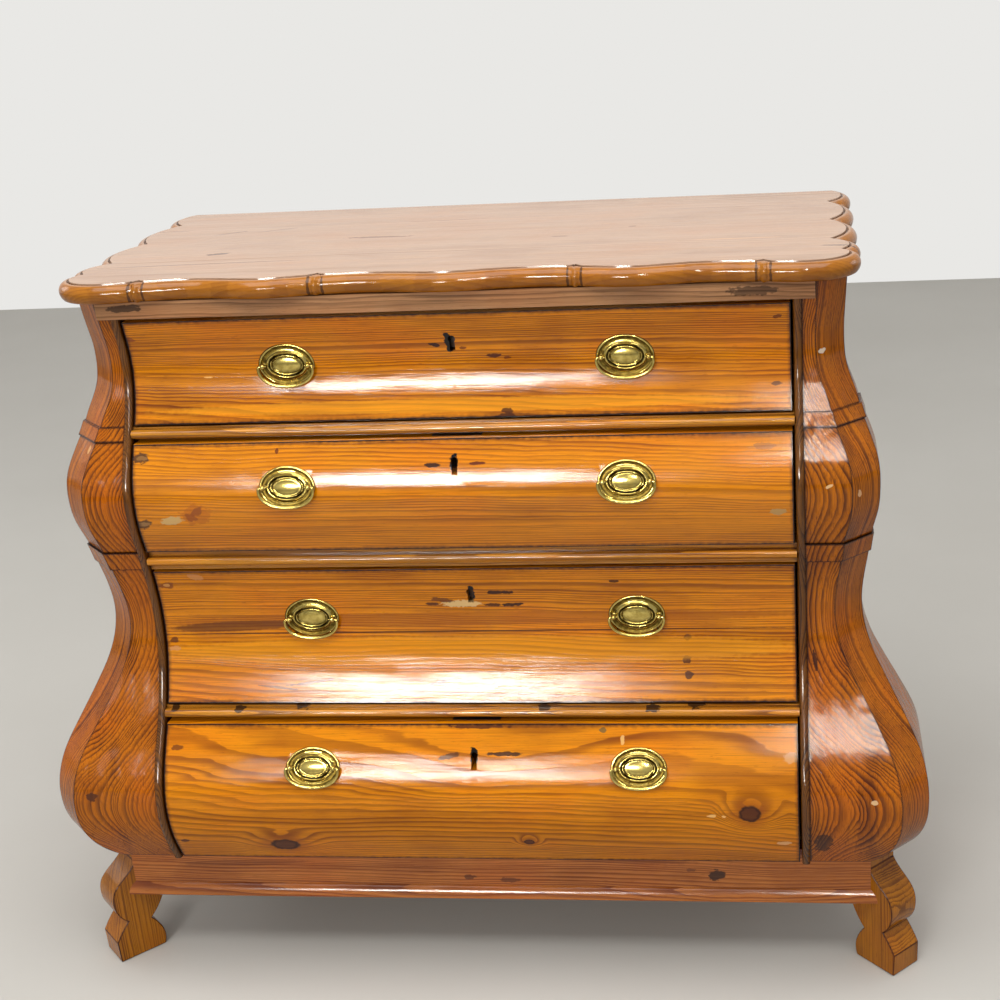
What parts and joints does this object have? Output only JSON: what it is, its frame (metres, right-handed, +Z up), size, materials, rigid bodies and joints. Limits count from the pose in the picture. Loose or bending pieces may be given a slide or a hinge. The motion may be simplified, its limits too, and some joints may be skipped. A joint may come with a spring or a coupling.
{
  "type": "bombe chest",
  "caption": "Bombe chest in waxed pine: bow-profiled drawer fronts, carved corner stiles, scalloped top, scroll feet and oval brass bail handles.",
  "frame": {"origin": "on the floor, under the middle of the chest's bounding box", "axes": "+Z up, -Y the drawer fronts' side, +X to the right as seen from the front"},
  "size_m": [1.0972, 0.5566, 0.9],
  "materials": {
    "pine_honey": "waxed, semi gloss",
    "pine_dark": "stained and waxed",
    "pine_red": "stained and waxed",
    "pine_raw": "bare, aged",
    "brass": "aged, satin",
    "iron": "dull, oiled"
  },
  "bodies": {
    "carcase": {"top_front_board": "pine_honey", "top_back_board": "pine_honey", "frieze_rail": "pine_dark", "stile_left": "pine_honey", "stile_right": "pine_honey", "stile_beads": "pine_dark", "rail_beads": "pine_dark", "drawer_rails": "pine_red", "side_panel_left": "pine_honey", "side_panel_right": "pine_honey", "back_boards": "pine_raw", "bottom_board": "pine_raw", "plinth_front": "pine_red", "plinth_sides": "pine_red", "front_feet": "pine_red", "back_feet": "pine_raw", "drawer_runners": "pine_raw", "drawer_guides": "pine_raw", "kickers": "pine_raw", "glue_blocks": "pine_raw"},
    "drawer_1": {"drawer_1_front": "pine_honey", "drawer_1_sides": "pine_raw", "drawer_1_back": "pine_raw", "drawer_1_bottom": "pine_raw", "drawer_1_backplates": "brass", "drawer_1_handle_posts": "brass", "drawer_1_lock_case": "iron"},
    "drawer_1_bail_left": {"drawer_1_bail_left": "brass"},
    "drawer_1_bail_right": {"drawer_1_bail_right": "brass"},
    "drawer_1_lock_bolt": {"drawer_1_lock_bolt": "iron"},
    "drawer_2": {"drawer_2_front": "pine_honey", "drawer_2_sides": "pine_raw", "drawer_2_back": "pine_raw", "drawer_2_bottom": "pine_raw", "drawer_2_backplates": "brass", "drawer_2_handle_posts": "brass", "drawer_2_lock_case": "iron"},
    "drawer_2_bail_left": {"drawer_2_bail_left": "brass"},
    "drawer_2_bail_right": {"drawer_2_bail_right": "brass"},
    "drawer_2_lock_bolt": {"drawer_2_lock_bolt": "iron"},
    "drawer_3": {"drawer_3_front": "pine_honey", "drawer_3_sides": "pine_raw", "drawer_3_back": "pine_raw", "drawer_3_bottom": "pine_raw", "drawer_3_backplates": "brass", "drawer_3_handle_posts": "brass", "drawer_3_lock_case": "iron"},
    "drawer_3_bail_left": {"drawer_3_bail_left": "brass"},
    "drawer_3_bail_right": {"drawer_3_bail_right": "brass"},
    "drawer_3_lock_bolt": {"drawer_3_lock_bolt": "iron"},
    "drawer_4": {"drawer_4_front": "pine_honey", "drawer_4_sides": "pine_raw", "drawer_4_back": "pine_raw", "drawer_4_bottom": "pine_raw", "drawer_4_backplates": "brass", "drawer_4_handle_posts": "brass", "drawer_4_lock_case": "iron"},
    "drawer_4_bail_left": {"drawer_4_bail_left": "brass"},
    "drawer_4_bail_right": {"drawer_4_bail_right": "brass"},
    "drawer_4_lock_bolt": {"drawer_4_lock_bolt": "iron"}
  },
  "joints": [
    {"name": "drawer_1_slide", "type": "slide", "parent": "carcase", "child": "drawer_1", "axis": [0, -1, 0], "range_m": [0, 0.3]},
    {"name": "drawer_1_bail_left_hinge", "type": "hinge", "parent": "drawer_1", "child": "drawer_1_bail_left", "pos_m": [-0.202, -0.16293, 0.79134], "axis": [-1, 0, 0], "range_deg": [0, 150]},
    {"name": "drawer_1_bail_right_hinge", "type": "hinge", "parent": "drawer_1", "child": "drawer_1_bail_right", "pos_m": [0.202, -0.16293, 0.79134], "axis": [-1, 0, 0], "range_deg": [0, 150]},
    {"name": "drawer_1_lock_bolt_slide", "type": "slide", "parent": "drawer_1", "child": "drawer_1_lock_bolt", "axis": [0, 0, 1], "range_m": [0, 0.009]},
    {"name": "drawer_2_slide", "type": "slide", "parent": "carcase", "child": "drawer_2", "axis": [0, -1, 0], "range_m": [0, 0.3]},
    {"name": "drawer_2_bail_left_hinge", "type": "hinge", "parent": "drawer_2", "child": "drawer_2_bail_left", "pos_m": [-0.202, -0.22017, 0.65945], "axis": [-1, 0, 0], "range_deg": [0, 150]},
    {"name": "drawer_2_bail_right_hinge", "type": "hinge", "parent": "drawer_2", "child": "drawer_2_bail_right", "pos_m": [0.202, -0.22017, 0.65945], "axis": [-1, 0, 0], "range_deg": [0, 150]},
    {"name": "drawer_2_lock_bolt_slide", "type": "slide", "parent": "drawer_2", "child": "drawer_2_lock_bolt", "axis": [0, 0, 1], "range_m": [0, 0.009]},
    {"name": "drawer_3_slide", "type": "slide", "parent": "carcase", "child": "drawer_3", "axis": [0, -1, 0], "range_m": [0, 0.3]},
    {"name": "drawer_3_bail_left_hinge", "type": "hinge", "parent": "drawer_3", "child": "drawer_3_bail_left", "pos_m": [-0.202, -0.19545, 0.47669], "axis": [-1, 0, 0], "range_deg": [0, 150]},
    {"name": "drawer_3_bail_right_hinge", "type": "hinge", "parent": "drawer_3", "child": "drawer_3_bail_right", "pos_m": [0.202, -0.19545, 0.47669], "axis": [-1, 0, 0], "range_deg": [0, 150]},
    {"name": "drawer_3_lock_bolt_slide", "type": "slide", "parent": "drawer_3", "child": "drawer_3_lock_bolt", "axis": [0, 0, 1], "range_m": [0, 0.009]},
    {"name": "drawer_4_slide", "type": "slide", "parent": "carcase", "child": "drawer_4", "axis": [0, -1, 0], "range_m": [0, 0.3]},
    {"name": "drawer_4_bail_left_hinge", "type": "hinge", "parent": "drawer_4", "child": "drawer_4_bail_left", "pos_m": [-0.202, -0.26614, 0.30886], "axis": [-1, 0, 0], "range_deg": [0, 150]},
    {"name": "drawer_4_bail_right_hinge", "type": "hinge", "parent": "drawer_4", "child": "drawer_4_bail_right", "pos_m": [0.202, -0.26614, 0.30886], "axis": [-1, 0, 0], "range_deg": [0, 150]},
    {"name": "drawer_4_lock_bolt_slide", "type": "slide", "parent": "drawer_4", "child": "drawer_4_lock_bolt", "axis": [0, 0, 1], "range_m": [0, 0.009]}
  ]
}
